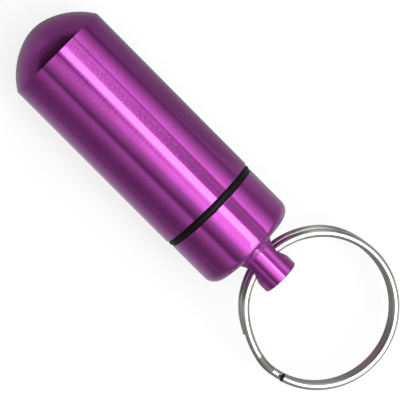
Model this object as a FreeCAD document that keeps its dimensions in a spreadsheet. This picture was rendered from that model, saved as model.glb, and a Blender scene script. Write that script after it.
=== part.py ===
# Pill fob on a key ring: a domed aluminium barrel, a screw cap with a cross-drilled knob,
# an O-ring between them and a split ring of flat wire through the knob.
# The fob lies on its side along X, dome at -X and key ring at +X, and rests on Z = 0.
# The origin is under the middle of its bounding box. Lengths are millimetres, angles degrees.

import FreeCAD, Part
import Sketcher
import math
import os

# Driving sizes, one cell each in the sheet named dims.
SIZES = {
    # Barrel
    "body_diameter": 17.0,
    "body_length": 32.5,
    "dome_height": 5.2,
    "dome_nose_share": 0.75,
    "dome_flank_share": 1.2,
    "rim_break": 0.15,
    "mouth_wall": 1.4,
    "mouth_lead": 0.25,
    "mouth_end_room": 0.8,
    "chamber_ledge": 0.6,
    "chamber_floor_wall": 4.0,
    "chamber_floor_bevel": 1.0,
    # Cap with its hollow neck and knob
    "cap_inset": 0.03,
    "cap_length": 8.9,
    "cap_end_radius": 2.0,
    "cap_rim_break": 0.15,
    "cap_end_wall": 3.6,
    "neck_engagement": 7.0,
    "neck_lead": 0.5,
    "neck_wall": 1.25,
    "thread_room": 0.65,
    "recess_floor_bevel": 0.6,
    "knob_diameter": 6.0,
    "knob_flare": 0.35,
    "knob_end_break": 0.25,
    "eye_inner_wall": 0.8,
    "eye_outer_wall": 1.83,
    "eye_clearance": 0.15,
    "eye_edge_break": 0.2,
    # O-ring as squeezed between rim and shoulder
    "seal_thickness": 1.1,
    "seal_inset": 0.1,
    "seal_bulge": 0.25,
    "seal_bevel": 0.3,
    "seal_clearance": 0.05,
    # Split ring
    "ring_diameter": 25.4,
    "wire_width": 1.34,
    "wire_thickness": 1.1,
    "wire_bevel": 0.24,
    "coil_gap": 0.44,
    "ring_slope": 8.0,
    "ring_roll": 3.0,
    "ring_askew": 3.8,
    "lower_end_angle": 243.0,
    "jog_low_angle": -75.0,
    "jog_high_angle": -100.0,
    "upper_end_angle": -432.0,
    # Reach of every cut past the face it opens
    "overrun": 1.0,
}

# Sizes that follow from the driving ones, one formula each in the sheet named fits.
FOLLOWING = {
    # Barrel, measured from the tip of its dome
    "body_radius": "dims.body_diameter / 2",
    "dome_radius": "(fits.body_radius ^ 2 + dims.dome_height ^ 2) / (2 * dims.dome_height)",
    "nose_radius": "dims.dome_nose_share * fits.dome_radius",
    "flank_radius": "dims.dome_flank_share * fits.dome_radius",
    "rim_place": "dims.dome_height + dims.body_length",
    "mouth_radius": "fits.body_radius - dims.mouth_wall",
    "mouth_depth": "dims.neck_engagement + dims.mouth_end_room",
    "chamber_radius": "fits.mouth_radius - dims.chamber_ledge",
    # Cap, measured from the end of its neck
    "cap_radius": "fits.body_radius - dims.cap_inset",
    "neck_radius": "fits.mouth_radius - dims.thread_room",
    "recess_radius": "fits.neck_radius - dims.neck_wall",
    "shoulder_place": "dims.neck_engagement + dims.seal_thickness",
    "face_place": "fits.shoulder_place + dims.cap_length",
    "recess_depth": "fits.face_place - dims.cap_end_wall",
    "knob_radius": "dims.knob_diameter / 2",
    # O-ring
    "seal_radius": "fits.body_radius - dims.seal_inset",
    "seal_inner_radius": "fits.neck_radius + dims.seal_clearance",
    "bulge_radius": "((dims.seal_thickness / 2) ^ 2 + dims.seal_bulge ^ 2) / (2 * dims.seal_bulge)",
    # Split ring, and the eye that clears its wire as the ring swings
    "coil_rise": "dims.wire_thickness + dims.coil_gap",
    "half_height": "dims.wire_thickness + dims.coil_gap / 2",
    "mean_radius": "(dims.ring_diameter - dims.wire_width) / 2",
    "wire_bow": "fits.mean_radius - sqrt(fits.mean_radius ^ 2 - fits.knob_radius ^ 2)",
    "wire_drift": "fits.wire_bow / 2 + fits.knob_radius * tan(dims.ring_askew)",
    "side_out": "dims.wire_width / 2 + fits.wire_drift",
    "side_up": "fits.half_height - dims.wire_bevel",
    "flat_out": "fits.side_out - dims.wire_bevel",
    "wire_lift": "fits.knob_radius * tan(dims.ring_roll)",
    "side_sweep": "hypot(fits.side_out; fits.side_up + fits.wire_lift)",
    "flat_sweep": "hypot(fits.flat_out; fits.half_height + fits.wire_lift)",
    "swing_radius": "max(fits.side_sweep; fits.flat_sweep)",
    "eye_radius": "fits.swing_radius + dims.eye_clearance",
    "eye_place": "fits.face_place + dims.eye_inner_wall + fits.eye_radius",
    "knob_end_place": "fits.eye_place + fits.eye_radius + dims.eye_outer_wall",
    "ring_seat": "fits.mean_radius - fits.wire_bow / 2",
    "ring_forward": "fits.ring_seat * cos(dims.ring_askew)",
    "ring_aside": "fits.ring_seat * sin(dims.ring_askew)",
    "ring_sink": "fits.ring_aside * sin(dims.ring_roll)",
    # Places of the pieces in the part's frame
    "ring_flat_reach": "fits.ring_forward + dims.ring_diameter / 2",
    "ring_edge_reach": "(fits.side_up - fits.ring_sink) * sin(dims.ring_slope)",
    "ring_reach": "fits.ring_flat_reach * cos(dims.ring_slope) + fits.ring_edge_reach",
    "neck_place": "fits.rim_place - dims.neck_engagement",
    "whole_length": "fits.neck_place + fits.eye_place + fits.ring_reach",
    "tip_x": "-fits.whole_length / 2",
    "rim_x": "fits.tip_x + fits.rim_place",
    "neck_x": "fits.tip_x + fits.neck_place",
    "eye_x": "fits.neck_x + fits.eye_place",
    "axis_y": "-fits.ring_aside * cos(dims.ring_roll)",
    "axis_z": "fits.body_radius",
}

FULL_TURN = 360
FACE_MATCH_SHARE = 0.001
GAP_SAMPLES = 720
EDGE_SAMPLES = 5


def fill_sheet(doc, name, cells):
    """Make a sheet with one labelled cell for each entry."""
    sheet = doc.addObject("Spreadsheet::Sheet", name)
    for row, (alias, content) in enumerate(cells.items(), start=1):
        sheet.set(f"A{row}", alias)
        sheet.set(f"B{row}", content)
        sheet.setAlias(f"B{row}", alias)
    return sheet


def make_sheets(doc):
    """Put the driving sizes and the formulas that follow from them into the document."""
    dims = fill_sheet(doc, "dims", {alias: str(value) for alias, value in SIZES.items()})
    fits = fill_sheet(doc, "fits", {alias: "=" + rule for alias, rule in FOLLOWING.items()})
    doc.recompute()
    return dims, fits


def make_body(doc, label):
    """Make an empty body."""
    body = doc.addObject("PartDesign::Body", label)
    body.Label = label
    return body


def make_sketch(body, name, plane_role):
    """Make a sketch on one of the body's own origin planes."""
    sketch = body.newObject("Sketcher::SketchObject", name)
    planes = [feature for feature in body.Origin.OriginFeatures if feature.Role == plane_role]
    sketch.AttachmentSupport = (planes[0], "")
    sketch.MapMode = "FlatFace"
    return sketch


def bind(sketch, kind, places, rule):
    """Add a dimension to the sketch and tie it to a formula."""
    index = sketch.addConstraint(Sketcher.Constraint(kind, *places, sketch.evalExpression(rule)))
    sketch.setExpression(f"Constraints[{index}]", rule)


def pin(sketch, side, end, along, out):
    """Fix a point of the sketch at formulas for its place along the axis and out from it."""
    bind(sketch, "DistanceX", (-1, 1, side, end), along)
    if out == "0":
        sketch.addConstraint(Sketcher.Constraint("PointOnObject", side, end, -1))
    else:
        bind(sketch, "DistanceY", (-1, 1, side, end), out)


def place(sketch, along, out):
    """Work out a point of the sketch from its two formulas."""
    return FreeCAD.Vector(sketch.evalExpression(along), sketch.evalExpression(out), 0)


def draw_outline(sketch, corners):
    """Draw a closed outline of straight sides with every corner fixed by formulas."""
    points = [place(sketch, *corner) for corner in corners]
    for here, there in zip(points, points[1:] + points[:1]):
        sketch.addGeometry(Part.LineSegment(here, there))
    for side, corner in enumerate(corners):
        sketch.addConstraint(Sketcher.Constraint("Coincident", side, 2, (side + 1) % len(corners), 1))
        pin(sketch, side, 1, *corner)


def spin(body, kind, name, sketch):
    """Turn a sketch all the way round the X axis, as added or removed metal."""
    feature = body.newObject(kind, name)
    feature.Profile = sketch
    feature.ReferenceAxis = (sketch, ["H_Axis"])
    feature.Angle = FULL_TURN


def ring_edges(shape, along, radius):
    """Name the edges that are circles round the X axis at a given place and radius."""
    slack = FACE_MATCH_SHARE * radius
    names = []
    for number, edge in enumerate(shape.Edges, start=1):
        if edge.Degenerated or not isinstance(edge.Curve, Part.Circle):
            continue
        centre = edge.Curve.Center
        on_axis = abs(centre.x - along) + abs(centre.y) + abs(centre.z) < slack
        if on_axis and abs(edge.Curve.Radius - radius) < slack:
            names.append(f"Edge{number}")
    return names


def dress(body, kind, name, edges, size_name, rule):
    """Round or bevel edges of the body's last feature."""
    base = body.Tip
    feature = body.newObject(kind, name)
    feature.Base = (base, edges)
    feature.setExpression(size_name, rule)


def fillet_ring(doc, body, name, along, radius, rule):
    """Round the circular edge at a place and radius."""
    doc.recompute()
    edges = ring_edges(body.Shape, along, radius)
    dress(body, "PartDesign::Fillet", name, edges, "Radius", rule)


def chamfer_ring(doc, body, name, along, radius, rule):
    """Bevel the circular edge at a place and radius."""
    doc.recompute()
    edges = ring_edges(body.Shape, along, radius)
    dress(body, "PartDesign::Chamfer", name, edges, "Size", rule)


def draw_barrel(sketch, fits, dims):
    """Draw the barrel's half section: a nose arc, a flank arc tangent to it, the wall and the rim."""
    tip = FreeCAD.Vector(0, 0, 0)
    shoulder = FreeCAD.Vector(dims.dome_height, fits.body_radius, 0)
    nose_centre = FreeCAD.Vector(fits.nose_radius, 0, 0)
    span = shoulder.sub(nose_centre)
    reach = fits.flank_radius - fits.nose_radius
    along = (span.Length ** 2 + reach ** 2 - fits.flank_radius ** 2) / (2 * span.Length)
    across = math.sqrt(reach ** 2 - along ** 2)
    toward = FreeCAD.Vector(span).normalize()
    aside = FreeCAD.Vector(toward.y, -toward.x, 0)
    flank_centre = nose_centre + toward * along + aside * across
    outward = nose_centre.sub(flank_centre).normalize()
    meeting = nose_centre + outward * fits.nose_radius
    rim = FreeCAD.Vector(fits.rim_place, fits.body_radius, 0)
    foot = FreeCAD.Vector(fits.rim_place, 0, 0)

    axis = FreeCAD.Vector(0, 0, 1)
    meeting_angle = math.atan2(outward.y, outward.x)
    shoulder_arm = shoulder.sub(flank_centre)
    shoulder_angle = math.atan2(shoulder_arm.y, shoulder_arm.x)
    nose_circle = Part.Circle(nose_centre, axis, fits.nose_radius)
    flank_circle = Part.Circle(flank_centre, axis, fits.flank_radius)
    nose = sketch.addGeometry(Part.ArcOfCircle(nose_circle, meeting_angle, math.pi))
    flank = sketch.addGeometry(Part.ArcOfCircle(flank_circle, shoulder_angle, meeting_angle))
    wall = sketch.addGeometry(Part.LineSegment(shoulder, rim))
    face = sketch.addGeometry(Part.LineSegment(rim, foot))
    middle = sketch.addGeometry(Part.LineSegment(foot, tip))

    sketch.addConstraint(Sketcher.Constraint("Coincident", nose, 2, -1, 1))
    sketch.addConstraint(Sketcher.Constraint("PointOnObject", nose, 3, -1))
    bind(sketch, "Radius", (nose,), "fits.nose_radius")
    sketch.addConstraint(Sketcher.Constraint("Tangent", nose, 1, flank, 2))
    bind(sketch, "Radius", (flank,), "fits.flank_radius")
    pin(sketch, flank, 1, "dims.dome_height", "fits.body_radius")
    sketch.addConstraint(Sketcher.Constraint("Coincident", flank, 1, wall, 1))
    pin(sketch, wall, 2, "fits.rim_place", "fits.body_radius")
    sketch.addConstraint(Sketcher.Constraint("Coincident", wall, 2, face, 1))
    pin(sketch, face, 2, "fits.rim_place", "0")
    sketch.addConstraint(Sketcher.Constraint("Coincident", face, 2, middle, 1))
    sketch.addConstraint(Sketcher.Constraint("Coincident", middle, 2, nose, 2))


def make_container_body(doc, dims, fits):
    """Domed barrel with a bored chamber and a wider mouth for the thread."""
    body = make_body(doc, "container_body")
    barrel = make_sketch(body, "barrel_section", "XY_Plane")
    draw_barrel(barrel, fits, dims)
    spin(body, "PartDesign::Revolution", "barrel", barrel)

    ledge = "fits.rim_place - fits.mouth_depth"
    outside = "fits.rim_place + dims.overrun"
    bore = make_sketch(body, "bore_section", "XY_Plane")
    draw_outline(bore, [
        ("dims.chamber_floor_wall", "0"),
        ("dims.chamber_floor_wall", "fits.chamber_radius"),
        (ledge, "fits.chamber_radius"),
        (ledge, "fits.mouth_radius"),
        (outside, "fits.mouth_radius"),
        (outside, "0"),
    ])
    spin(body, "PartDesign::Groove", "bore", bore)

    floor_corner = (dims.chamber_floor_wall, fits.chamber_radius)
    chamfer_ring(doc, body, "chamber_floor_edge", *floor_corner, "dims.chamber_floor_bevel")
    chamfer_ring(doc, body, "mouth_lead_in", fits.rim_place, fits.mouth_radius, "dims.mouth_lead")
    chamfer_ring(doc, body, "rim_edge", fits.rim_place, fits.body_radius, "dims.rim_break")
    return body


def make_screw_cap(doc, dims, fits):
    """Cap with a hollow neck below its shoulder and a cross-drilled knob on its rounded end."""
    body = make_body(doc, "screw_cap")
    turned = make_sketch(body, "cap_section", "XY_Plane")
    draw_outline(turned, [
        ("0", "0"),
        ("0", "fits.neck_radius"),
        ("fits.shoulder_place", "fits.neck_radius"),
        ("fits.shoulder_place", "fits.cap_radius"),
        ("fits.face_place", "fits.cap_radius"),
        ("fits.face_place", "fits.knob_radius"),
        ("fits.knob_end_place", "fits.knob_radius"),
        ("fits.knob_end_place", "0"),
    ])
    spin(body, "PartDesign::Revolution", "turned_cap", turned)

    hollow = make_sketch(body, "recess_section", "XY_Plane")
    draw_outline(hollow, [
        ("-dims.overrun", "0"),
        ("-dims.overrun", "fits.recess_radius"),
        ("fits.recess_depth", "fits.recess_radius"),
        ("fits.recess_depth", "0"),
    ])
    spin(body, "PartDesign::Groove", "recess", hollow)

    fillet_ring(doc, body, "end_round", fits.face_place, fits.cap_radius, "dims.cap_end_radius")
    chamfer_ring(doc, body, "recess_edge", fits.recess_depth, fits.recess_radius, "dims.recess_floor_bevel")
    chamfer_ring(doc, body, "shoulder_edge", fits.shoulder_place, fits.cap_radius, "dims.cap_rim_break")
    chamfer_ring(doc, body, "neck_lead_in", 0, fits.neck_radius, "dims.neck_lead")
    chamfer_ring(doc, body, "knob_root", fits.face_place, fits.knob_radius, "dims.knob_flare")
    chamfer_ring(doc, body, "knob_end", fits.knob_end_place, fits.knob_radius, "dims.knob_end_break")

    drill = make_sketch(body, "eye_circle", "XZ_Plane")
    circle = Part.Circle(place(drill, "fits.eye_place", "0"), FreeCAD.Vector(0, 0, 1), fits.eye_radius)
    eye_circle = drill.addGeometry(circle)
    bind(drill, "Radius", (eye_circle,), "fits.eye_radius")
    pin(drill, eye_circle, 3, "fits.eye_place", "0")
    eye = body.newObject("PartDesign::Pocket", "eye")
    eye.Profile = drill
    eye.Type = "ThroughAll"
    eye.SideType = "Symmetric"
    doc.recompute()
    eye_edges = eye_rim_edges(body.Shape, fits)
    dress(body, "PartDesign::Chamfer", "eye_edges", eye_edges, "Size", "dims.eye_edge_break")
    return body


def eye_rim_edges(shape, fits):
    """Name the edges where the eye breaks out through the sides of the knob."""
    slack = FACE_MATCH_SHARE * fits.eye_radius
    names = []
    for number, edge in enumerate(shape.Edges, start=1):
        if edge.Degenerated:
            continue
        points = edge.discretize(Number=EDGE_SAMPLES)
        arms = [math.hypot(point.x - fits.eye_place, point.z) for point in points]
        outs = [math.hypot(point.y, point.z) for point in points]
        on_eye = all(abs(arm - fits.eye_radius) < slack for arm in arms)
        on_knob = all(abs(out - fits.knob_radius) < slack for out in outs)
        if on_eye and on_knob:
            names.append(f"Edge{number}")
    return names


def make_o_ring(doc):
    """O-ring as squeezed: flat on both faces, bulging outward, bevelled on the side by the neck."""
    body = make_body(doc, "o_ring")
    section = make_sketch(body, "seal_section", "XY_Plane")
    far = "dims.seal_thickness"
    inner = "fits.seal_inner_radius"
    bulge_root = "fits.seal_radius - dims.seal_bulge"
    bevel_top = inner + " + dims.seal_bevel"
    corners = [
        ("0", bulge_root),
        ("0", bevel_top),
        ("dims.seal_bevel", inner),
        (far + " - dims.seal_bevel", inner),
        (far, bevel_top),
        (far, bulge_root),
    ]
    points = [place(section, *corner) for corner in corners]
    crest = place(section, far + " / 2", "fits.seal_radius")
    for here, there in zip(points, points[1:]):
        section.addGeometry(Part.LineSegment(here, there))
    bulge = section.addGeometry(Part.Arc(points[-1], crest, points[0]))
    for side, corner in enumerate(corners[:-1]):
        pin(section, side, 1, *corner)
        if side:
            section.addConstraint(Sketcher.Constraint("Coincident", side - 1, 2, side, 1))
    last = bulge - 1
    pin(section, last, 2, *corners[-1])
    section.addConstraint(Sketcher.Constraint("Coincident", last, 2, bulge, 1))
    section.addConstraint(Sketcher.Constraint("Coincident", bulge, 2, 0, 1))
    bind(section, "Radius", (bulge,), "fits.bulge_radius")
    spin(body, "PartDesign::Revolution", "seal", section)
    return body


def on_coil(fits, angle, level):
    """A point of the wire's centre line and the way that the wire runs there."""
    turn = math.radians(angle)
    point = FreeCAD.Vector(fits.mean_radius * math.cos(turn), fits.mean_radius * math.sin(turn), level)
    heading = FreeCAD.Vector(math.sin(turn), -math.cos(turn), 0)
    return point, heading


def arc_from(start, heading, end):
    """The arc that leaves a point along a heading and ends at another point."""
    chord = end.sub(start)
    lean = chord.getAngle(heading)
    corner = start + heading * (chord.Length / 2 / math.cos(lean))
    middle = start + chord * 0.5
    bulge = math.tan(lean / 2) / math.tan(lean)
    return Part.Arc(start, middle + (corner - middle) * bulge, end).toShape()


def coil_arcs(fits, first, last, level):
    """A level run of the coil as two arcs of less than half a turn each."""
    middle = (first + last) / 2
    arcs = []
    for begin, finish in ((first, middle), (middle, last)):
        start, heading = on_coil(fits, begin, level)
        end, _ = on_coil(fits, finish, level)
        arcs.append(arc_from(start, heading, end))
    return arcs


def jog_arcs(fits, first, last, low, high):
    """The step from one coil to the other as a pair of arcs that share their tangent."""
    start, heading = on_coil(fits, first, low)
    end, leaving = on_coil(fits, last, high)
    span = end.sub(start)
    both = heading + leaving
    bend = 1 - heading.dot(leaving)
    pull = span.dot(both)
    arm = (math.sqrt(pull ** 2 + 2 * bend * span.dot(span)) - pull) / (2 * bend)
    meeting = (start + end + (heading - leaving) * arm) * 0.5
    backward = arc_from(end, leaving * -1, meeting)
    return [arc_from(start, heading, meeting), backward]


def wire_section(dims, fits):
    """The flat wire's section with bevelled corners, square to its lower end."""
    start, _ = on_coil(fits, dims.lower_end_angle, -fits.coil_rise / 2)
    outward = FreeCAD.Vector(start.x, start.y, 0).normalize()
    upward = FreeCAD.Vector(0, 0, 1)
    half_width = dims.wire_width / 2
    half_thick = dims.wire_thickness / 2
    corners = []
    for out_sign, up_sign in ((1, 1), (-1, 1), (-1, -1), (1, -1)):
        side = (out_sign * half_width, up_sign * (half_thick - dims.wire_bevel))
        flat = (out_sign * (half_width - dims.wire_bevel), up_sign * half_thick)
        corners += [side, flat] if out_sign == up_sign else [flat, side]
    points = [start + outward * out + upward * up for out, up in corners]
    return Part.makePolygon(points + points[:1])


def least_gap(spine, dims, fits):
    """The least free space between turns of the wire, measured on points of its centre line."""
    points = spine.discretize(Number=GAP_SAMPLES)
    step = spine.Length / (GAP_SAMPLES - 1)
    apart = math.ceil(fits.mean_radius / step)
    gaps = []
    for number, point in enumerate(points):
        gaps.extend(point.distanceToPoint(other) for other in points[number + apart:])
    return min(gaps) - dims.wire_thickness


def make_split_ring(doc, dims, fits):
    """Split ring: two level coils of flat wire joined by a jog, in one unbroken sweep."""
    low = -fits.coil_rise / 2
    high = fits.coil_rise / 2
    edges = coil_arcs(fits, dims.lower_end_angle, dims.jog_low_angle, low)
    edges += jog_arcs(fits, dims.jog_low_angle, dims.jog_high_angle, low, high)
    edges += coil_arcs(fits, dims.jog_high_angle, dims.upper_end_angle, high)
    spine = Part.Wire(Part.sortEdges(edges)[0])
    section = wire_section(dims, fits)
    shape = spine.makePipeShell([section], True, False)
    swept = Part.Face(section).Area * spine.Length
    print(f"split_ring: least gap {least_gap(spine, dims, fits):.3f} mm,"
          f" volume {shape.Volume:.2f} of {swept:.2f} mm3")
    ring = doc.addObject("Part::Feature", "split_ring")
    ring.Label = "split_ring"
    ring.Shape = shape
    return ring


def lay_out(dims, fits, container_body, o_ring, screw_cap, split_ring):
    """Put the pieces in the part's frame, the ring hung through the eye at its slope and roll."""
    for piece, along in ((container_body, "tip_x"), (o_ring, "rim_x"), (screw_cap, "neck_x")):
        piece.setExpression("Placement.Base.x", f"fits.{along}")
        piece.setExpression("Placement.Base.y", "fits.axis_y")
        piece.setExpression("Placement.Base.z", "fits.axis_z")
    slope = FreeCAD.Rotation(FreeCAD.Vector(0, 1, 0), dims.ring_slope)
    roll = FreeCAD.Rotation(FreeCAD.Vector(1, 0, 0), -dims.ring_roll)
    lean = slope.multiply(roll)
    eye = FreeCAD.Vector(fits.eye_x, fits.axis_y, fits.axis_z)
    centre = eye + lean.multVec(FreeCAD.Vector(fits.ring_forward, fits.ring_aside, 0))
    split_ring.Placement = FreeCAD.Placement(centre, lean)


def check(doc, pieces):
    """Stop if anything in the document failed or a piece isn't one sound solid."""
    for item in doc.Objects:
        if "Invalid" in item.State or "Error" in item.State:
            raise RuntimeError(f"{item.Label} failed: {item.State}")
    for piece in pieces:
        shape = piece.Shape
        if shape.isNull() or not shape.isValid() or len(shape.Solids) != 1:
            raise RuntimeError(f"{piece.Label} is not one sound solid")


def main():
    doc = FreeCAD.newDocument("pill_fob")
    dims, fits = make_sheets(doc)
    container_body = make_container_body(doc, dims, fits)
    o_ring = make_o_ring(doc)
    screw_cap = make_screw_cap(doc, dims, fits)
    split_ring = make_split_ring(doc, dims, fits)
    pieces = [container_body, o_ring, screw_cap, split_ring]
    lay_out(dims, fits, *pieces)
    doc.recompute()
    check(doc, pieces)
    os.makedirs("parts", exist_ok=True)
    for piece in pieces:
        box = piece.Shape.BoundBox
        print(f"{piece.Label}: {piece.Shape.Volume:.1f} mm3,"
              f" X {box.XMin:.2f} to {box.XMax:.2f},"
              f" Y {box.YMin:.2f} to {box.YMax:.2f}, Z {box.ZMin:.2f} to {box.ZMax:.2f}")
        piece.Shape.exportStep(f"parts/{piece.Label}.step")


main()
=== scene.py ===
import math

import bmesh
import bpy
import numpy as np
from mathutils import Matrix, Vector


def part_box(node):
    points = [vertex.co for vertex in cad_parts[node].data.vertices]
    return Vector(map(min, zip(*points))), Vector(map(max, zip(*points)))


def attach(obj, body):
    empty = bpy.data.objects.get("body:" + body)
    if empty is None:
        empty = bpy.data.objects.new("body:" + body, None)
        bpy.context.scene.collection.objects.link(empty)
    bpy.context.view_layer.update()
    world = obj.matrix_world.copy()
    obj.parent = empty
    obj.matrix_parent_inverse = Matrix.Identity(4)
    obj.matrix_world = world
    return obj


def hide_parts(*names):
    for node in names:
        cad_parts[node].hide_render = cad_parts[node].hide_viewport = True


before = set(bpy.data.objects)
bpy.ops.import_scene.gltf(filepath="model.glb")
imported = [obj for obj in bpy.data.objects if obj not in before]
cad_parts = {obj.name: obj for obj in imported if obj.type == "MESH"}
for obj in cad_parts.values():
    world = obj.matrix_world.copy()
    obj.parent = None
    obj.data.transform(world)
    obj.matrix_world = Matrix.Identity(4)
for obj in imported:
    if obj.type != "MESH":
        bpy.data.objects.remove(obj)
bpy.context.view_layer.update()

MM = 0.001
PER_METRE = 1000.0
WHITE = (1.0, 1.0, 1.0, 1.0)

# Turned pieces, in millimetres. Insets and extras say how far the drawn form leaves the solid
TIP_INSET = 0.22
CAP_LENGTH = 8.9
CAP_INSET = 0.12
KNOB_R = 3.1
KNOB_EXTRA = 0.16
ROOT_FLARE = 0.3
ROOT_LENGTH = 1.12
EYE_R = 1.8392
EYE_WALL = 1.83
MOUTH_R = 7.1
NECK_R = 6.45
NECK_BEVEL = 0.5
THREAD_PITCH = 1.25
THREAD_DEPTH = 0.42

# How finely the turned pieces are drawn: columns round the axis, and steps along it in millimetres
COLUMNS = 288
LONG_STEP = 1.6
FINE_STEP = 0.09
HOLD = 0.04

# Split ring, in millimetres and degrees. Angles run down from the lower coil's end to the upper coil's
RING_SEAT = Vector((11.8139, 0.7847, 0.0))
RING_SLOPE = 8.0
RING_ROLL = 3.0
RING_MEAN_R = 12.045
RING_HEIGHT = 2.64
RING_ROWS = 760
WIRE_WIDTH = 1.28
WIRE_GIRTH = 4.6
COIL_CREVICE = 0.07
LOWER_END = 243.0
JOG_LOW = -81.0
JOG_HIGH = -100.0
UPPER_END = -435.0
END_ROUND = 0.1

# Where the coils are bent in a little by the jog, and where the lower coil springs out by the eye
PRIED_AT = -117.0
PRIED_REACH = 34.0
PRIED_DEPTH = 0.24
SPRUNG_FROM = 90.0
SPRUNG_FULL = 135.0
SPRUNG_BACK = 180.0
SPRUNG_OUT = 0.4


def node_box(node):
    """Corners of a CAD node in millimetres."""
    low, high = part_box(node)
    return low / MM, high / MM


def wire_length(angle):
    """Length of the wire from its lower end to an angle, in millimetres."""
    return math.radians(LOWER_END - angle) * RING_MEAN_R


# Places along the barrel's axis and radii about it, taken from the solids
body_low, body_high = node_box("container_body")
cap_low, cap_high = node_box("screw_cap")
seal_low, seal_high = node_box("o_ring")
AXIS_Y = (body_low.y + body_high.y) / 2
AXIS_Z = (body_low.z + body_high.z) / 2
TIP_X = body_low.x
DOME_X = TIP_X + TIP_INSET
NECK_X = cap_low.x
RIM_X = body_high.x
SHOULDER_X = seal_high.x
FACE_X = SHOULDER_X + CAP_LENGTH
ROOT_END_X = FACE_X + ROOT_LENGTH
KNOB_END_X = cap_high.x
KNOB_TOP_X = KNOB_END_X + KNOB_EXTRA
EYE_X = KNOB_END_X - EYE_WALL - EYE_R
BODY_R = (body_high.y - body_low.y) / 2
CAP_R = (cap_high.y - cap_low.y) / 2 - CAP_INSET
SEAL_R = (seal_high.y - seal_low.y) / 2
MOUTH_THREAD = (RIM_X - 7.3, RIM_X - 0.3)
NECK_THREAD = (NECK_X + NECK_BEVEL, RIM_X - 0.35)

# Places along the ring's wire
RING_LENGTH = wire_length(UPPER_END)
JOG_ALONG = wire_length((JOG_LOW + JOG_HIGH) / 2)
JOG_REACH = math.radians(JOG_LOW - JOG_HIGH) * RING_MEAN_R / 2
EYE_ALONG = [wire_length(angle) for angle in (180.0, -180.0)]


def ease(share):
    """A share held between 0 and 1, slow to start and slow to end."""
    share = min(1.0, max(0.0, share))
    return share * share * (3 - 2 * share)


def line(start, end, step=None):
    """Points of a straight run of a profile, with close ones by its ends to hold the shading."""
    length = math.dist(start, end)
    hold = min(HOLD, length / 4)
    shares = {0.0, hold / length, 1 - hold / length, 1.0}
    if step:
        count = max(1, round(length / step))
        shares |= {number / count for number in range(count + 1)}
    return [(start[0] + (end[0] - start[0]) * share, start[1] + (end[1] - start[1]) * share)
            for share in sorted(shares)]


def arc(centre, radius, first, last, steps):
    """Points of a round run of a profile, angles in degrees."""
    points = []
    for number in range(steps + 1):
        turn = math.radians(first + (last - first) * number / steps)
        points.append((centre[0] + radius * math.cos(turn), centre[1] + radius * math.sin(turn)))
    return points


def join(*runs):
    """One profile out of several runs, without doubled points."""
    points = []
    for run in runs:
        for point in run:
            if not points or math.dist(points[-1], point) > 1e-5:
                points.append(point)
    return points


def thread_height(along, turn, start, end):
    """Share of a thread's height at a place, rounded at crest and root and faded at both ends."""
    phase = (along / THREAD_PITCH - turn / (2 * math.pi)) % 1.0
    slope = 4 * abs(phase - 0.5) - 1
    steepness = 0.75
    fade_length = 0.6 * THREAD_PITCH
    fade = min(1.0, (along - start) / fade_length, (end - along) / fade_length)
    return ease(0.5 + steepness * slope) * max(0.0, fade)


def add_object(name, data):
    """Link a mesh, a lamp or a camera as an object of the scene."""
    piece = bpy.data.objects.new(name, data)
    bpy.context.scene.collection.objects.link(piece)
    return piece


def build_mesh(name, vertices, faces):
    """A mesh from its corners and faces, with all faces turned outward."""
    mesh = bpy.data.meshes.new(name)
    mesh.from_pydata(vertices, [], faces)
    work = bmesh.new()
    work.from_mesh(mesh)
    bmesh.ops.recalc_face_normals(work, faces=work.faces)
    work.to_mesh(mesh)
    work.free()
    return mesh


def lathe(name, profile, ripple=None):
    """Turn a profile of (along, radius) points round the axis into a closed surface."""
    rows = []
    vertices = []
    for along, radius in profile:
        if radius < 1e-6:
            rows.append([len(vertices)])
            vertices.append((along * MM, AXIS_Y * MM, AXIS_Z * MM))
            continue
        rows.append(range(len(vertices), len(vertices) + COLUMNS))
        for column in range(COLUMNS):
            turn = 2 * math.pi * column / COLUMNS
            out = radius + (ripple(along, radius, turn) if ripple else 0.0)
            vertices.append((along * MM, (AXIS_Y + out * math.cos(turn)) * MM,
                             (AXIS_Z + out * math.sin(turn)) * MM))
    pairs = list(zip(rows, rows[1:]))
    # A profile that doesn't start on the axis is a loop
    if len(rows[0]) > 1:
        pairs.append((rows[-1], rows[0]))
    faces = []
    for here, there in pairs:
        for column in range(COLUMNS):
            after = (column + 1) % COLUMNS
            if len(here) == 1:
                faces.append((here[0], there[column], there[after]))
            elif len(there) == 1:
                faces.append((here[column], there[0], here[after]))
            else:
                faces.append((here[column], there[column], there[after], here[after]))
    return build_mesh(name, vertices, faces)


def tube_faces(rows, around):
    """Faces of a tube of rows with the same number of corners around, and of its two flat ends."""
    faces = []
    for row in range(rows - 1):
        for column in range(around):
            after = (column + 1) % around
            faces.append((row * around + column, row * around + after,
                          (row + 1) * around + after, (row + 1) * around + column))
    faces.append(tuple(range(around)))
    faces.append(tuple(reversed(range((rows - 1) * around, rows * around))))
    return faces


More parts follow.
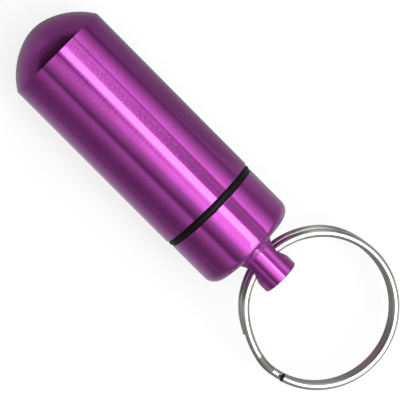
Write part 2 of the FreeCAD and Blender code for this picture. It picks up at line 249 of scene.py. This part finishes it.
def barrel_profile():
    """Outside from the dome's tip to the rim, then inside from the mouth to the chamber's floor."""
    # The dome is two arcs, nose and flank, with a soft edge where the flank meets the straight side
    nose_r = 7.1603
    flank_r = 11.4565
    flank = (DOME_X + 11.2832, -1.2081)
    meeting = 163.67
    soft = 0.16
    turn_r = BODY_R - soft
    turn_x = flank[0] - math.sqrt((flank_r - soft) ** 2 - (turn_r - flank[1]) ** 2)
    bend = math.degrees(math.atan2(turn_r - flank[1], turn_x - flank[0]))
    edge = 0.16
    bevel = 0.25
    chamber_r = 6.5
    ledge_x = RIM_X - 7.8
    floor_x = TIP_X + 4.0
    floor_bevel = 1.0
    return join(
        arc((DOME_X + nose_r, 0.0), nose_r, 180.0, meeting, steps=14),
        arc(flank, flank_r, meeting, bend, steps=60),
        arc((turn_x, turn_r), soft, bend, 90.0, steps=6),
        line((turn_x, BODY_R), (RIM_X - edge, BODY_R), LONG_STEP),
        arc((RIM_X - edge, BODY_R - edge), edge, 90.0, 0.0, steps=8),
        line((RIM_X, BODY_R - edge), (RIM_X, MOUTH_R + bevel)),
        line((RIM_X, MOUTH_R + bevel), (RIM_X - bevel, MOUTH_R)),
        line((RIM_X - bevel, MOUTH_R), (ledge_x, MOUTH_R), FINE_STEP),
        line((ledge_x, MOUTH_R), (ledge_x, chamber_r)),
        line((ledge_x, chamber_r), (floor_x + floor_bevel, chamber_r), LONG_STEP),
        line((floor_x + floor_bevel, chamber_r), (floor_x, chamber_r - floor_bevel)),
        line((floor_x, chamber_r - floor_bevel), (floor_x, 0.0), step=1.0))


def barrel_ripple(along, radius, turn):
    """The mouth's thread: ridges that stand in from its wall."""
    start, end = MOUTH_THREAD
    if abs(radius - MOUTH_R) > 1e-6 or not start < along < end:
        return 0.0
    half = THREAD_PITCH / 2
    return -THREAD_DEPTH * thread_height(along + half, turn, start + half, end + half)


def cap_profile():
    """From the recess's floor out over the neck, the shoulder, the rounded end and the knob."""
    recess_r = 5.2
    recess_bevel = 0.6
    floor_x = FACE_X - 3.6
    lip = 0.12
    edge = 0.16
    end_r = 2.0
    flare = 0.3
    root_r = KNOB_R + ROOT_FLARE
    tip = 0.28
    return join(
        line((floor_x, 0.0), (floor_x, recess_r - recess_bevel), step=1.0),
        line((floor_x, recess_r - recess_bevel), (floor_x - recess_bevel, recess_r)),
        line((floor_x - recess_bevel, recess_r), (NECK_X + lip, recess_r), LONG_STEP),
        arc((NECK_X + lip, recess_r + lip), lip, 270.0, 180.0, steps=5),
        line((NECK_X, recess_r + lip), (NECK_X, NECK_R - NECK_BEVEL)),
        line((NECK_X, NECK_R - NECK_BEVEL), (NECK_X + NECK_BEVEL, NECK_R)),
        line((NECK_X + NECK_BEVEL, NECK_R), (SHOULDER_X, NECK_R), FINE_STEP),
        line((SHOULDER_X, NECK_R), (SHOULDER_X, CAP_R - edge)),
        arc((SHOULDER_X + edge, CAP_R - edge), edge, 180.0, 90.0, steps=8),
        line((SHOULDER_X + edge, CAP_R), (FACE_X - end_r, CAP_R), step=1.0),
        arc((FACE_X - end_r, CAP_R - end_r), end_r, 90.0, 0.0, steps=28),
        line((FACE_X, CAP_R - end_r), (FACE_X, root_r + flare), step=0.5),
        arc((FACE_X + flare, root_r + flare), flare, 180.0, 262.0, steps=10),
        line((FACE_X + flare, root_r), (ROOT_END_X, KNOB_R), step=0.2),
        line((ROOT_END_X, KNOB_R), (KNOB_TOP_X - tip, KNOB_R), FINE_STEP),
        arc((KNOB_TOP_X - tip, KNOB_R - tip), tip, 90.0, 0.0, steps=10),
        line((KNOB_TOP_X, KNOB_R - tip), (KNOB_TOP_X, 0.0), step=0.4))


def cap_ripple(along, radius, turn):
    """The neck's thread: ridges that stand out from it, between the mouth's."""
    start, end = NECK_THREAD
    if abs(radius - NECK_R) > 1e-6 or not start < along < end:
        return 0.0
    return THREAD_DEPTH * thread_height(along, turn, start, end)


def seal_profile():
    """The squeezed O-ring: flat against rim and shoulder, bulging outward, rounded by the neck."""
    slack = 0.01
    low_x = RIM_X + slack
    high_x = SHOULDER_X - slack
    middle = (low_x + high_x) / 2
    half = (high_x - low_x) / 2
    bulge = 0.25
    bulge_r = (half ** 2 + bulge ** 2) / (2 * bulge)
    lean = math.degrees(math.asin(half / bulge_r))
    inner_r = 6.5
    round_r = 0.34
    points = join(
        arc((middle, SEAL_R - bulge_r), bulge_r, 90.0 + lean, 90.0 - lean, steps=16),
        line((high_x, SEAL_R - bulge), (high_x, inner_r + round_r)),
        arc((high_x - round_r, inner_r + round_r), round_r, 0.0, -90.0, steps=8),
        arc((low_x + round_r, inner_r + round_r), round_r, 270.0, 180.0, steps=8),
        line((low_x, inner_r + round_r), (low_x, SEAL_R - bulge)))
    # The loop's last point is its first one again
    return points[:-1]


def eye_cutter():
    """A drill whose ends flare along the knob's surface, so that the eye's edges come out rounded."""
    columns = 128
    flare = 0.24
    straight = (0.0, 0.6, 1.2, 1.7)
    straight_span = 1.9
    rounds = 9
    end_depth = KNOB_R + 0.6
    end_r = EYE_R + flare + 0.3

    def section(step, surface):
        """Depth and radius at a step from the middle, where the knob's surface has a given depth."""
        if step < len(straight):
            return straight[step] * (surface - flare) / straight_span, EYE_R
        if step <= len(straight) + rounds:
            lean = math.radians(90.0 * (step - len(straight)) / rounds)
            return surface - flare + flare * math.sin(lean), EYE_R + flare * (1 - math.cos(lean))
        return end_depth, end_r

    steps = range(len(straight) + rounds + 2)
    rows = [(-1, step) for step in reversed(steps)] + [(1, step) for step in steps[1:]]
    vertices = []
    for side, step in rows:
        for column in range(columns):
            turn = 2 * math.pi * column / columns
            surface = math.sqrt(KNOB_R ** 2 - (EYE_R * math.sin(turn)) ** 2)
            depth, radius = section(step, surface)
            vertices.append(((EYE_X + radius * math.cos(turn)) * MM, (AXIS_Y + side * depth) * MM,
                             (AXIS_Z + radius * math.sin(turn)) * MM))
    return build_mesh("eye_cutter", vertices, tube_faces(len(rows), columns))


def drilled(mesh, cutter_mesh):
    """The first mesh with the second one taken out of it."""
    whole = add_object("whole", mesh)
    cutter = add_object("cutter", cutter_mesh)
    cut = whole.modifiers.new("eye", "BOOLEAN")
    cut.operation = "DIFFERENCE"
    cut.solver = "EXACT"
    cut.object = cutter
    bpy.context.view_layer.update()
    seen = whole.evaluated_get(bpy.context.evaluated_depsgraph_get())
    result = bpy.data.meshes.new_from_object(seen)
    bpy.data.objects.remove(whole)
    bpy.data.objects.remove(cutter)
    return result


def wire_points(inset):
    """Corners of the flat wire's section with its broken edges, drawn in by a margin."""
    half_w = WIRE_WIDTH / 2
    half_t = (RING_HEIGHT - COIL_CREVICE) / 4
    flat = 0.13
    side_r = 0.34
    top_r = 0.2
    smallest_r = 0.02
    slope = math.radians(46.0)
    steps = 4
    bevel = (half_w - side_r + side_r * math.cos(slope)) - (flat + top_r * math.cos(slope))
    side_up = half_t - top_r + (top_r - side_r) * math.sin(slope) - bevel / math.tan(slope)
    quarter = [(half_w - side_r, side_up, side_r, slope * step / steps) for step in range(steps + 1)]
    quarter += [(flat, half_t - top_r, top_r, slope + (math.pi / 2 - slope) * step / steps)
                for step in range(steps + 1)]
    points = []
    for side, up in ((1, 1), (-1, 1), (-1, -1), (1, -1)):
        for out, high, radius, turn in quarter if side == up else quarter[::-1]:
            radius = max(radius - inset, smallest_r)
            points.append((side * (out + radius * math.cos(turn)), up * (high + radius * math.sin(turn))))
    return points


def wire_centre(share):
    """Middle of the wire at a share of its length, about the ring's own centre."""
    angle = LOWER_END + (UPPER_END - LOWER_END) * share
    climb = ease((JOG_LOW - angle) / (JOG_LOW - JOG_HIGH))
    pried = abs((angle - PRIED_AT + 180.0) % 360.0 - 180.0) / PRIED_REACH
    sprung = ease((angle - SPRUNG_FROM) / (SPRUNG_FULL - SPRUNG_FROM))
    sprung *= min(1.0, (LOWER_END - angle) / (LOWER_END - SPRUNG_BACK))
    radius = RING_MEAN_R - PRIED_DEPTH * math.cos(math.pi / 2 * min(1.0, pried)) ** 2
    radius += SPRUNG_OUT * sprung
    rise = (RING_HEIGHT + COIL_CREVICE) / 4
    turn = math.radians(angle)
    return Vector((radius * math.cos(turn), radius * math.sin(turn), rise * (2 * climb - 1)))


def ring_mesh():
    """Two coils of flat wire with a jog between them and square cut ends."""
    # Share of the wire's length and margin of its section, close together at the rounded edges of its ends
    trim = END_ROUND / RING_LENGTH
    ends = [(0.0, END_ROUND), (0.25 * trim, 0.035), (0.6 * trim, 0.01), (trim, 0.0)]
    places = ends + [(share, 0.0) for share in np.linspace(0.0, 1.0, RING_ROWS) if trim < share < 1 - trim]
    places += [(1 - share, inset) for share, inset in reversed(ends)]
    lean = Matrix.Rotation(math.radians(RING_SLOPE), 3, "Y")
    lean = lean @ Matrix.Rotation(math.radians(-RING_ROLL), 3, "X")
    eye = Vector((EYE_X, AXIS_Y, AXIS_Z))
    nearby = 1e-4
    vertices = []
    for share, inset in places:
        here = wire_centre(share)
        ahead = (wire_centre(share + nearby) - wire_centre(share - nearby)).normalized()
        outward = Vector((here.x, here.y, 0.0)).normalized()
        upward = outward.cross(ahead)
        if upward.z < 0:
            upward.negate()
        for out, up in wire_points(inset):
            point = here + outward * out + upward * up
            vertices.append((eye + lean @ (RING_SEAT + point)) * MM)
    around = len(wire_points(0.0))
    mesh = build_mesh("split_ring_wire", vertices, tube_faces(len(places), around))
    lengths = mesh.attributes.new("wire_along", "FLOAT", "POINT")
    lengths.data.foreach_set("value", np.repeat([share * RING_LENGTH for share, _ in places], around))
    girths = mesh.attributes.new("wire_around", "FLOAT", "POINT")
    girths.data.foreach_set("value", np.tile(np.linspace(0.0, WIRE_GIRTH, around), len(places)))
    return mesh


def grey(level):
    """A grey colour of a given brightness."""
    return (level, level, level, 1.0)


class Nodes:
    """A node tree with short ways to add and join nodes."""

    def __init__(self, tree):
        self.tree = tree

    def put(self, socket, value):
        """Join a socket to another one, or set it to a plain value."""
        if isinstance(value, bpy.types.NodeSocket):
            self.tree.links.new(value, socket)
        else:
            socket.default_value = value

    def add(self, kind, inputs=None, **settings):
        """A new node with its settings and inputs."""
        node = self.tree.nodes.new(kind)
        for key, value in settings.items():
            setattr(node, key, value)
        for key, value in (inputs or {}).items():
            self.put(node.inputs[key], value)
        return node

    def math(self, operation, first, second=0.0):
        """The result of an operation on one or two values."""
        return self.add("ShaderNodeMath", {0: first, 1: second}, operation=operation).outputs[0]

    def plus(self, first, second):
        """Two values added."""
        return self.math("ADD", first, second)

    def times(self, first, second):
        """Two values multiplied."""
        return self.math("MULTIPLY", first, second)

    def away(self, value, middle):
        """How far a value is from a middle one."""
        return self.math("ABSOLUTE", self.math("SUBTRACT", value, middle))

    def vector(self, first, second, third=0.0):
        """A vector of three values."""
        return self.add("ShaderNodeCombineXYZ", {0: first, 1: second, 2: third}).outputs[0]

    def parts(self, vector):
        """The three values of a vector."""
        return self.add("ShaderNodeSeparateXYZ", {0: vector}).outputs

    def place(self, space):
        """The place of the point that is shaded, or for the world its direction."""
        return self.add("ShaderNodeTexCoord").outputs[space]

    def noise(self, vector, scale, detail, roughness):
        """Random clouds over a vector."""
        inputs = {"Vector": vector, "Scale": scale, "Detail": detail, "Roughness": roughness}
        return self.add("ShaderNodeTexNoise", inputs).outputs["Fac"]

    def spread(self, value, low, high, to_low, to_high):
        """A value moved from one range to another and held inside it."""
        inputs = {0: value, 1: low, 2: high, 3: to_low, 4: to_high}
        return self.add("ShaderNodeMapRange", inputs).outputs[0]

    def blend(self, share, first, second):
        """A colour that goes from the first to the second as the share goes from 0 to 1."""
        return self.add("ShaderNodeMix", {0: share, 6: first, 7: second}, data_type="RGBA").outputs[2]

    def feed(self, socket, value):
        """Set an input of the surface shader."""
        self.put(self.tree.nodes["Principled BSDF"].inputs[socket], value)

    def bump(self, height, strength, distance):
        """Shade the surface as if it rose by a height, over a distance in metres."""
        inputs = {"Strength": strength, "Distance": distance, "Height": height}
        self.feed("Normal", self.add("ShaderNodeBump", inputs).outputs[0])


def new_material(name):
    """A material and the nodes that it is made of."""
    material = bpy.data.materials.new(name)
    material.use_nodes = True
    return material, Nodes(material.node_tree)


def turned_places(nodes):
    """Where a point lies from the barrel's axis, in millimetres: along, to the side and up."""
    x, y, z = nodes.parts(nodes.place("Object"))
    along = nodes.times(x, PER_METRE)
    side = nodes.math("SUBTRACT", nodes.times(y, PER_METRE), AXIS_Y)
    up = nodes.math("SUBTRACT", nodes.times(z, PER_METRE), AXIS_Z)
    return along, side, up


def brush_strokes(nodes, along, girth, lean, layer):
    """Short strokes that lean from the way round the barrel by an angle in degrees, one pattern a layer."""
    cosine = math.cos(math.radians(lean))
    sine = math.sin(math.radians(lean))
    length = nodes.plus(nodes.times(along, sine), nodes.times(girth, cosine))
    width = nodes.math("SUBTRACT", nodes.times(along, cosine), nodes.times(girth, sine))
    flat = nodes.vector(nodes.times(length, 0.6), nodes.times(width, 2.4), layer)
    return nodes.noise(flat, 1.0, 2.0, 0.55)


def anodised_purple():
    """Bright purple anodising: rings from turning, short crossing brush strokes, a clear hard skin."""
    plain = (0.49, 0.033, 0.44, 1.0)
    bright = (0.55, 0.043, 0.5, 1.0)
    deep = (0.34, 0.02, 0.31, 1.0)
    root_dark_tint = (0.2, 0.012, 0.19, 1.0)
    material, nodes = new_material("anodised_purple")
    along, side, up = turned_places(nodes)
    out = nodes.math("SQRT", nodes.plus(nodes.times(side, side), nodes.times(up, up)))
    turn = nodes.math("ARCTAN2", side, up)

    # Rings from turning, which change slowly round the axis, and clouds and grit all over
    slow = nodes.times(nodes.plus(side, up), 0.035)
    section = nodes.vector(along, out, slow)
    fine = nodes.noise(section, 13.0, 3.0, 0.6)
    broad = nodes.noise(section, 1.6, 2.0, 0.5)
    place = nodes.vector(along, side, up)
    cloud = nodes.noise(place, 0.3, 3.0, 0.5)
    grit = nodes.noise(place, 7.0, 4.0, 0.6)

    # The knob's root, in the corner against the cap's end, is rougher and tinted darker
    root = nodes.times(nodes.spread(along, FACE_X - 0.1, FACE_X, 0.0, 1.0),
                       nodes.spread(along, ROOT_END_X - 0.04, ROOT_END_X + 0.04, 1.0, 0.0))
    root = nodes.times(root, nodes.spread(out, KNOB_R + 0.8, KNOB_R + 0.9, 1.0, 0.0))

    tint = nodes.blend(nodes.spread(cloud, 0.3, 0.7, 0.0, 1.0), plain, bright)
    tint = nodes.blend(nodes.spread(fine, 0.4, 0.8, 0.0, 0.2), tint, deep)
    tint = nodes.blend(nodes.times(root, 0.4), tint, root_dark_tint)
    rough = nodes.plus(nodes.spread(fine, 0.3, 0.7, 0.04, 0.075),
                       nodes.spread(grit, 0.3, 0.7, -0.005, 0.015))
    rough = nodes.plus(rough, nodes.times(root, 0.65))

    # Brush strokes, deep on one narrow stripe along the barrel and faint elsewhere
    stripe_turn = 0.275
    girth = nodes.times(turn, out)
    hatch = nodes.plus(brush_strokes(nodes, along, girth, lean=38.0, layer=0.0),
                       brush_strokes(nodes, along, girth, lean=-46.0, layer=31.0))
    stripe = nodes.spread(nodes.away(turn, stripe_turn), 0.088, 0.11, 1.0, 0.1)
    worked = nodes.times(stripe, nodes.spread(along, TIP_X + 5.0, RIM_X, 1.2, 0.35))
    height = nodes.plus(nodes.times(fine, 0.12), nodes.times(broad, 0.3))
    height = nodes.plus(height, nodes.times(hatch, worked))

    nodes.feed("Metallic", 1.0)
    nodes.feed("Base Color", tint)
    nodes.feed("Roughness", rough)
    nodes.feed("Coat Weight", 1.0)
    nodes.feed("Coat Roughness", 0.05)
    nodes.feed("Coat IOR", 1.6)
    nodes.bump(height, strength=0.2, distance=0.08 * MM)
    return material


def nitrile():
    """Smooth black rubber with a slight sheen and faint mould texture."""
    black = (0.004, 0.004, 0.005, 1.0)
    dusty = (0.014, 0.013, 0.014, 1.0)
    material, nodes = new_material("nitrile")
    place = nodes.vector(*turned_places(nodes))
    grain = nodes.noise(place, 6.0, 4.0, 0.6)
    dust = nodes.noise(place, 1.4, 3.0, 0.6)
    nodes.feed("Base Color", nodes.blend(nodes.spread(dust, 0.45, 0.8, 0.0, 0.6), black, dusty))
    nodes.feed("Roughness", nodes.spread(grain, 0.3, 0.7, 0.34, 0.52))
    nodes.feed("Specular IOR Level", 0.16)
    nodes.bump(grain, strength=0.2, distance=0.06 * MM)
    return material


def nickel():
    """Bright nickel plate with lines drawn along the wire and fine scratches; painted reflection, painted
    shade and a darker jog in places.
    """
    plate = (0.70, 0.69, 0.665, 1.0)
    bright = (0.78, 0.77, 0.75, 1.0)
    drawn_tint = (0.55, 0.53, 0.5, 1.0)
    inner_reflection_tint = (0.41, 0.42, 0.35, 1.0)
    jog_dark_tint = (0.3, 0.29, 0.275, 1.0)
    eye_reflection_tint = (0.085, 0.07, 0.058, 1.0)
    end_shade_tint = (0.035, 0.03, 0.027, 1.0)
    material, nodes = new_material("nickel")
    along = nodes.add("ShaderNodeAttribute", attribute_name="wire_along").outputs["Fac"]
    around = nodes.add("ShaderNodeAttribute", attribute_name="wire_around").outputs["Fac"]
    drawn = nodes.noise(nodes.vector(nodes.times(along, 0.12), nodes.times(around, 6.0)), 2.0, 3.0, 0.6)
    place = nodes.place("Object")
    cloud = nodes.noise(place, 400.0, 3.0, 0.55)
    scratch = nodes.noise(place, 3500.0, 3.0, 0.7)

    # Masks: painted reflection on the inner face and on the outer face by the eye, the darker jog, and
    # painted shade at the cut ends, which are partly bare metal
    from_inside = nodes.away(around, WIRE_GIRTH / 2)
    # Painted reflection and a duller surface on the inner face
    inside = nodes.spread(from_inside, 0.35, 0.85, 0.8, 0.0)
    outside = nodes.spread(from_inside, 1.6, 1.85, 0.0, 0.92)
    # The jog is darker and duller
    jog_dark_and_dull = nodes.spread(nodes.away(along, JOG_ALONG), 0.8 * JOG_REACH, JOG_REACH, 1.0, 0.0)
    from_eye = nodes.math("MINIMUM", *[nodes.away(along, eye) for eye in EYE_ALONG])
    # Painted reflection on the outer face near the eye, and a duller surface all round there
    eye_reflection_and_dull = nodes.spread(from_eye, 3.0, 8.0, 1.0, 0.0)
    from_end = nodes.math("MINIMUM", along, nodes.math("SUBTRACT", RING_LENGTH, along))
    # Painted shade at both cut ends for the shadowed slit under the upper coil's end; the ends are also bare
    # cut metal and rougher
    cut = nodes.spread(from_end, 0.16, 0.4, 1.0, 0.0)

    tint = nodes.blend(nodes.spread(cloud, 0.3, 0.7, 0.0, 1.0), plate, bright)
    tint = nodes.blend(nodes.spread(drawn, 0.5, 0.8, 0.0, 0.35), tint, drawn_tint)
    # Painted reflection: the inner face is tinted darker in place of a dim reflection
    tint = nodes.blend(inside, tint, inner_reflection_tint)
    # The jog is tinted darker
    tint = nodes.blend(nodes.times(jog_dark_and_dull, 0.95), tint, jog_dark_tint)
    # Painted reflection: the outer face by the eye is tinted dark in place of a dark reflection
    tint = nodes.blend(nodes.times(eye_reflection_and_dull, outside), tint, eye_reflection_tint)
    # Painted shade and bare metal: the cut ends are tinted nearly black
    tint = nodes.blend(cut, tint, end_shade_tint)
    rough = nodes.plus(nodes.spread(drawn, 0.3, 0.7, 0.1, 0.2), nodes.spread(scratch, 0.4, 0.8, 0.0, 0.06))
    dull = nodes.math("MAXIMUM", nodes.times(cut, 0.35), nodes.times(jog_dark_and_dull, 0.55))
    dull = nodes.math("MAXIMUM", dull, nodes.times(eye_reflection_and_dull, 0.3))
    dull = nodes.plus(dull, nodes.times(inside, 0.45))

    nodes.feed("Metallic", 1.0)
    nodes.feed("Base Color", tint)
    nodes.feed("Roughness", nodes.plus(rough, dull))
    nodes.bump(drawn, strength=0.1, distance=0.05 * MM)
    return material


def dress(name, mesh, material, body, node, sharp_degrees=28.0):
    """Make a mesh the visible form of a CAD node, smooth but for edges over an angle."""
    mesh.shade_smooth()
    mesh.set_sharp_from_angle(angle=math.radians(sharp_degrees))
    mesh.materials.clear()
    mesh.materials.append(material)
    piece = add_object(name, mesh)
    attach(piece, body)
    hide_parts(node)


def make_floor():
    """A plain pale floor that keeps the object's shadow. Its glow shows in metal too, as painted reflection
    that is dimmer away from the fob.
    """
    glow_level = 0.77
    paper_lit = grey(0.22)
    paper_seen = grey(0.28)
    reach = 4.0
    corners = [(-reach, -reach, 0.0), (reach, -reach, 0.0), (reach, reach, 0.0), (-reach, reach, 0.0)]
    mesh = bpy.data.meshes.new("floor")
    mesh.from_pydata(corners, [], [(0, 1, 2, 3)])
    material, nodes = new_material("floor_paper")
    tree = nodes.tree
    tree.nodes.remove(tree.nodes["Principled BSDF"])
    x, y, _ = nodes.parts(nodes.place("Object"))

    def over(value, low, high, to_low, to_high):
        """A spread over a place that is given in millimetres."""
        return nodes.spread(value, low * MM, high * MM, to_low, to_high)

    # Painted reflection: how much of the floor's glow metal sees, by place: in front of the barrel, behind
    # the cap, round the ring, a little elsewhere
    front = nodes.math("MINIMUM", over(y, -50.0, -12.0, 0.0, 0.31), over(y, -8.0, 4.0, 0.31, 0.045))
    front = nodes.times(front, over(x, FACE_X, KNOB_END_X, 1.0, 0.0))
    front = nodes.times(front, over(x, TIP_X, TIP_X + 12.0, 0.4, 1.0))
    behind = nodes.times(over(x, RIM_X, RIM_X + 3.0, 0.0, 0.12), over(y, 6.0, 12.0, 0.0, 1.0))
    by_ring = nodes.times(over(x, FACE_X, KNOB_END_X, 0.0, 0.17),
                          over(nodes.math("ABSOLUTE", y), 22.0, 30.0, 1.0, 0.0))
    elsewhere = 0.03
    reflected_glow_share = nodes.plus(nodes.plus(front, behind), nodes.plus(by_ring, elsewhere))

    path = nodes.add("ShaderNodeLightPath").outputs
    seen = nodes.math("MAXIMUM", path["Is Camera Ray"], path["Is Transmission Ray"])
    seen = nodes.math("MAXIMUM", seen, nodes.times(path["Is Glossy Ray"], reflected_glow_share))
    tone = nodes.blend(path["Is Camera Ray"], paper_lit, paper_seen)
    paper = nodes.add("ShaderNodeBsdfDiffuse", {"Color": tone})
    glow = nodes.add("ShaderNodeEmission", {"Color": WHITE, "Strength": nodes.times(seen, glow_level)})
    both = nodes.add("ShaderNodeAddShader", {0: paper.outputs[0], 1: glow.outputs[0]})
    nodes.put(tree.nodes["Material Output"].inputs[0], both.outputs[0])
    mesh.materials.append(material)
    add_object("floor", mesh)


def facing(place, back, right):
    """Place and turn of a lamp or camera that looks the opposite way to back, its right side near right."""
    right = (right - back * right.dot(back)).normalized()
    up = back.cross(right)
    return Matrix.Translation(place) @ Matrix((right, up, back)).transposed().to_4x4()


def make_lamp():
    """A long soft strip lamp overhead, of an even brightness, placed by its leans from straight up."""
    across = math.radians(13.7)
    along = math.radians(34.0)
    distance = 0.7
    brightness = 2.5
    data = bpy.data.lights.new("key_strip", "AREA")
    data.shape = "RECTANGLE"
    data.size = 1.0
    data.size_y = 0.19
    data.energy = brightness * math.pi * data.size * data.size_y
    back = Vector((math.sin(along), math.cos(along) * math.sin(across), math.cos(along) * math.cos(across)))
    aim = Vector((-10.0, AXIS_Y, AXIS_Z)) * MM
    lamp = add_object("key_strip", data)
    lamp.matrix_world = facing(aim + back * distance, back, Vector((1.0, 0.0, 0.0)))
    lamp.visible_camera = False


def level_ramp(nodes, value, low, high, stops):
    """Brightness as a run of straight pieces over a value, given at (value, brightness) stops."""
    ramp = nodes.add("ShaderNodeValToRGB", {0: nodes.spread(value, low, high, 0.0, 1.0)})
    band = ramp.color_ramp
    while len(band.elements) < len(stops):
        band.elements.new(1.0)
    for number, (place, level) in enumerate(stops):
        band.elements[number].position = (place - low) / (high - low)
        band.elements[number].color = grey(level)
    return ramp.outputs[0]


def make_world():
    """A studio room round the fob: pale strips overhead, dim walls, white behind it for the camera."""
    world = bpy.data.worlds.new("studio")
    bpy.context.scene.world = world
    world.use_nodes = True
    nodes = Nodes(world.node_tree)
    x, y, z = nodes.parts(nodes.place("Generated"))

    # A direction is told by the surface that mirrors it straight up: across is twice that surface's tilt
    # across the barrel, lean is the share of its normal along the barrel. along is the direction's own angle
    across = nodes.times(nodes.math("ARCTAN2", y, nodes.plus(z, 1.0)), 360.0 / math.pi)
    lean = nodes.math("DIVIDE", x, nodes.math("SQRT", nodes.plus(nodes.times(z, 2.0), 2.0)))
    along = nodes.times(nodes.math("ARCSINE", x), 180.0 / math.pi)

    by_dome = level_ramp(nodes, across, -90.0, 90.0, [
        # Side wall that rises to a pale board, and a dark gap
        (-90, 0.2), (-77, 0.21), (-69, 0.25), (-62, 0.35), (-55, 0.46), (-48, 0.48), (-45, 0.32), (-42, 0.18),
        # Pale panel and the dark seam overhead
        (-40, 0.2), (-35, 0.35), (-28, 0.55), (-22, 0.69), (-12, 0.76), (-9, 0.6), (-3, 0.45), (-1.5, 0.2),
        # Bright window and a narrow bar
        (1, 0.2), (3, 0.5), (6, 1.2), (22, 1.5), (25, 1.35), (38, 1.14), (40, 1.3), (43, 1.28), (45, 0.6),
        # Second panel that fades to the other wall
        (47, 0.6), (49, 0.98), (55, 0.98), (66, 0.62), (77, 0.34), (85, 0.15), (90, 0.15)])
    by_cap = level_ramp(nodes, across, -90.0, 90.0, [
        # Side wall that rises to a pale board, and a dark gap
        (-90, 0.18), (-77, 0.2), (-69, 0.26), (-62, 0.38), (-55, 0.5), (-49, 0.56), (-45, 0.34), (-41, 0.18),
        # Bright panel up to a narrow seam overhead
        (-37, 0.2), (-31, 0.33), (-25, 0.5), (-21, 0.64), (-17, 1.0), (-12, 1.38), (-6, 1.7), (-2, 1.6),
        # Bright window and a dim board with a bar
        (0, 1.1), (2, 1.6), (5, 1.85), (20, 1.7), (22, 0.8), (25, 0.55), (31, 0.48), (38, 0.5), (42, 0.64),
        # Bright strip that fades to the other wall
        (44, 0.42), (47, 0.48), (51, 1.4), (55, 1.15), (62, 0.9), (77, 0.42), (88, 0.26)])
    room = nodes.blend(nodes.spread(along, 0.0, 5.0, 0.0, 1.0), by_dome, by_cap)

    # Slats in the window
    slat_pitch = 3.2
    window_middle = 33.0
    slats = nodes.math("SINE", nodes.times(across, 2 * math.pi / slat_pitch))
    window = nodes.spread(nodes.away(across, window_middle), 7.0, 9.0, 0.4, 0.0)
    slats = nodes.plus(nodes.times(slats, window), 1.0)
    room = nodes.add("ShaderNodeVectorMath", {0: room, 3: slats}, operation="SCALE").outputs[0]

    # Dark end wall that the dome mirrors, a little paler low down and at its far edge
    low = level_ramp(nodes, z, 0.0, 1.0, [(0.0, 0.2), (0.06, 0.15), (0.13, 0.08), (0.22, 0.03)])
    wall = level_ramp(nodes, lean, -1.0, 0.0, [(-0.71, 0.2), (-0.66, 0.15), (-0.61, 0.08), (-0.53, 0.03)])
    wall = nodes.math("MAXIMUM", wall, low)
    room = nodes.blend(nodes.spread(x, -0.72, -0.55, 1.0, 0.0), room, wall)

    # Light across the seam on the side of the cap
    bridge = nodes.times(nodes.spread(nodes.math("ABSOLUTE", across), 0.0, 2.2, 0.5, 0.0),
                         nodes.spread(along, 4.5, 6.0, 0.0, 1.0))
    room = nodes.add("ShaderNodeVectorMath", {0: room, 1: bridge}).outputs[0]

    path = nodes.add("ShaderNodeLightPath").outputs
    seen = nodes.math("MAXIMUM", path["Is Camera Ray"], path["Is Transmission Ray"])
    room = nodes.blend(seen, room, WHITE)
    nodes.put(world.node_tree.nodes["Background"].inputs["Color"], room)


def make_camera():
    """Camera high above the dome's end, looking down and a little towards the ring."""
    data = bpy.data.cameras.new("camera")
    data.sensor_width = 36.0
    data.lens = 202.6
    place = Vector((TIP_X + 5.085, AXIS_Y, AXIS_Z + 344.0))
    aim = Vector((TIP_X + 36.735, AXIS_Y - 0.397, AXIS_Z))
    camera = add_object("camera", data)
    camera.matrix_world = facing(place * MM, (place - aim).normalized(), Vector((1.0, 1.0, 0.0)))
    bpy.context.scene.camera = camera


purple = anodised_purple()
barrel_mesh = lathe("barrel", barrel_profile(), barrel_ripple)
dress("barrel", barrel_mesh, purple, "container", "container_body")
seal_mesh = lathe("seal", seal_profile())
dress("seal", seal_mesh, nitrile(), "seal", "o_ring")
cap_mesh = drilled(lathe("cap", cap_profile(), cap_ripple), eye_cutter())
dress("cap", cap_mesh, purple, "cap", "screw_cap")
dress("key_ring", ring_mesh(), nickel(), "key_ring", "split_ring", sharp_degrees=40.0)
make_floor()
make_world()
make_lamp()
make_camera()
bpy.context.scene.view_settings.view_transform = "Standard"
